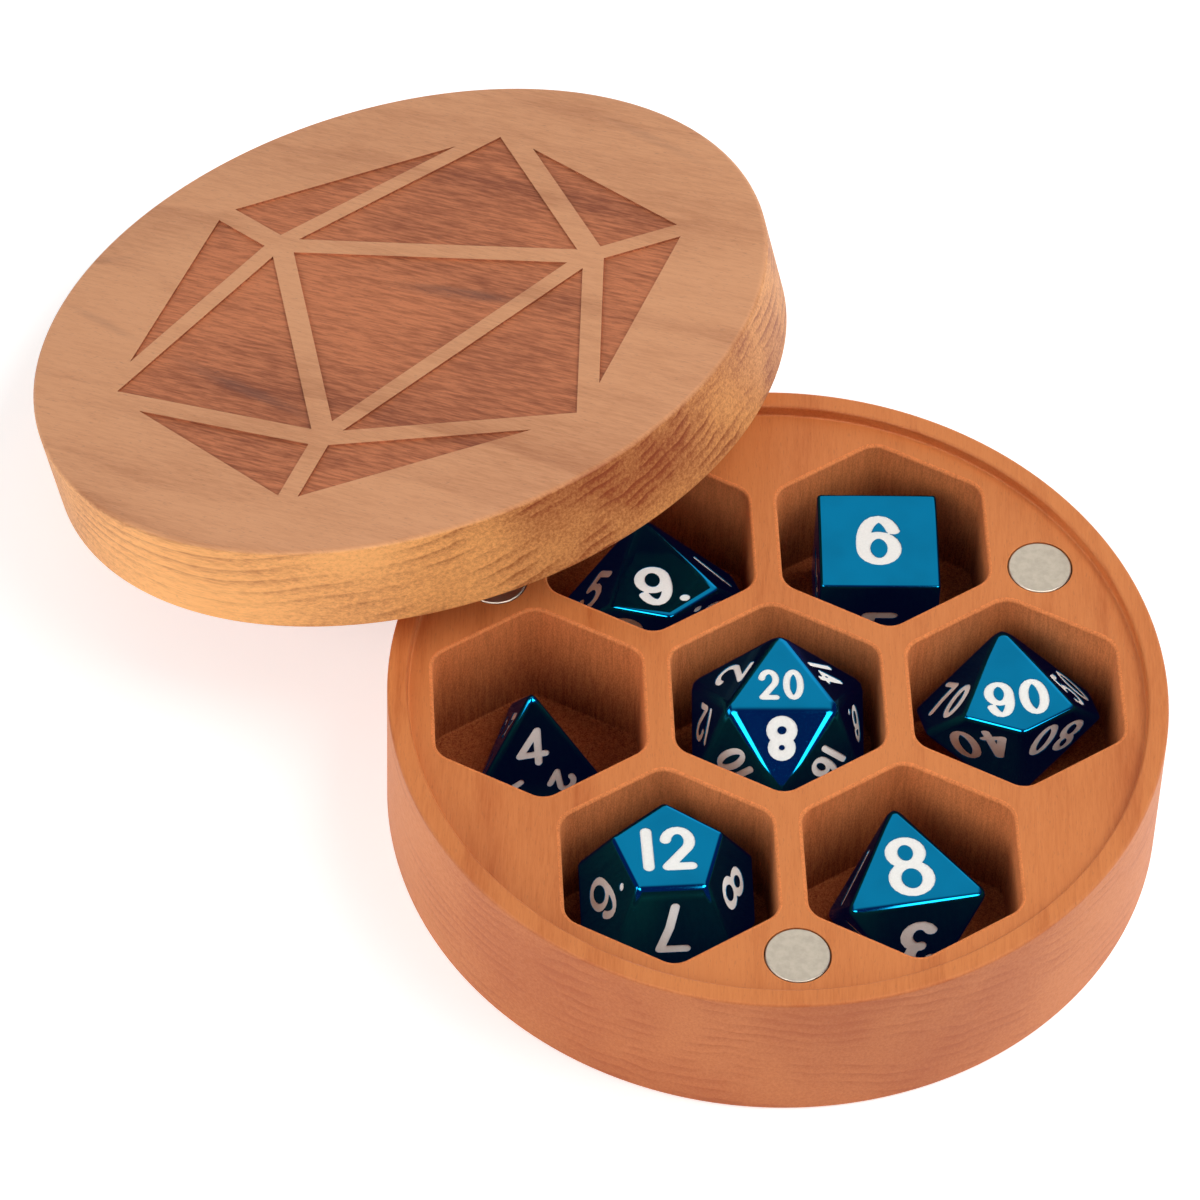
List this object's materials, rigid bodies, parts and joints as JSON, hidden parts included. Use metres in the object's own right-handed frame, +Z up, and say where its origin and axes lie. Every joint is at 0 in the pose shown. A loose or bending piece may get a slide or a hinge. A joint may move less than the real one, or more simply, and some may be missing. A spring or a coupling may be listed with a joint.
{
  "type": "dice storage chest",
  "caption": "Round wooden dice chest with hexagonal pockets, magnets, a lid leaning on its rim and a set of metal polyhedral dice.",
  "frame": {"origin": "centre of the tray's round underside, on the surface the chest stands on", "axes": "+Z up along the tray's axis, +X to the right along the middle row of three pockets, -Y towards the front magnet"},
  "size_m": [0.1484, 0.1617, 0.0456],
  "materials": {
    "tray wood": "satin",
    "lid wood": "satin",
    "magnet nickel": "satin",
    "dice metal": "polished"
  },
  "bodies": {
    "tray_body": {"tray": "tray wood", "tray_magnet_right": "magnet nickel", "tray_magnet_left": "magnet nickel", "tray_magnet_front": "magnet nickel"},
    "lid_body": {"lid": "lid wood", "lid_magnet_1": "magnet nickel", "lid_magnet_2": "magnet nickel", "lid_magnet_3": "magnet nickel"},
    "twenty_sided_die_body": {"twenty_sided_die": "dice metal"},
    "percentile_ten_sided_die_body": {"percentile_ten_sided_die": "dice metal"},
    "six_sided_die_body": {"six_sided_die": "dice metal"},
    "ten_sided_die_body": {"ten_sided_die": "dice metal"},
    "four_sided_die_body": {"four_sided_die": "dice metal"},
    "twelve_sided_die_body": {"twelve_sided_die": "dice metal"},
    "eight_sided_die_body": {"eight_sided_die": "dice metal"}
  },
  "joints": [
    {"name": "lid_lift", "type": "slide", "parent": "tray_body", "child": "lid_body", "axis": [0, 0, 1], "range_m": [0, 0.08]},
    {"name": "twenty_lift", "type": "slide", "parent": "tray_body", "child": "twenty_sided_die_body", "axis": [0, 0, 1], "range_m": [0, 0.05]},
    {"name": "percentile_lift", "type": "slide", "parent": "tray_body", "child": "percentile_ten_sided_die_body", "axis": [0, 0, 1], "range_m": [0, 0.05]},
    {"name": "six_lift", "type": "slide", "parent": "tray_body", "child": "six_sided_die_body", "axis": [0, 0, 1], "range_m": [0, 0.05]},
    {"name": "ten_lift", "type": "slide", "parent": "tray_body", "child": "ten_sided_die_body", "axis": [0, 0, 1], "range_m": [0, 0.006]},
    {"name": "four_lift", "type": "slide", "parent": "tray_body", "child": "four_sided_die_body", "axis": [0.035, -0.14, 0.9895], "range_m": [0, 0.05]},
    {"name": "twelve_lift", "type": "slide", "parent": "tray_body", "child": "twelve_sided_die_body", "axis": [0, 0, 1], "range_m": [0, 0.05]},
    {"name": "eight_lift", "type": "slide", "parent": "tray_body", "child": "eight_sided_die_body", "axis": [0, 0, 1], "range_m": [0, 0.05]}
  ]
}
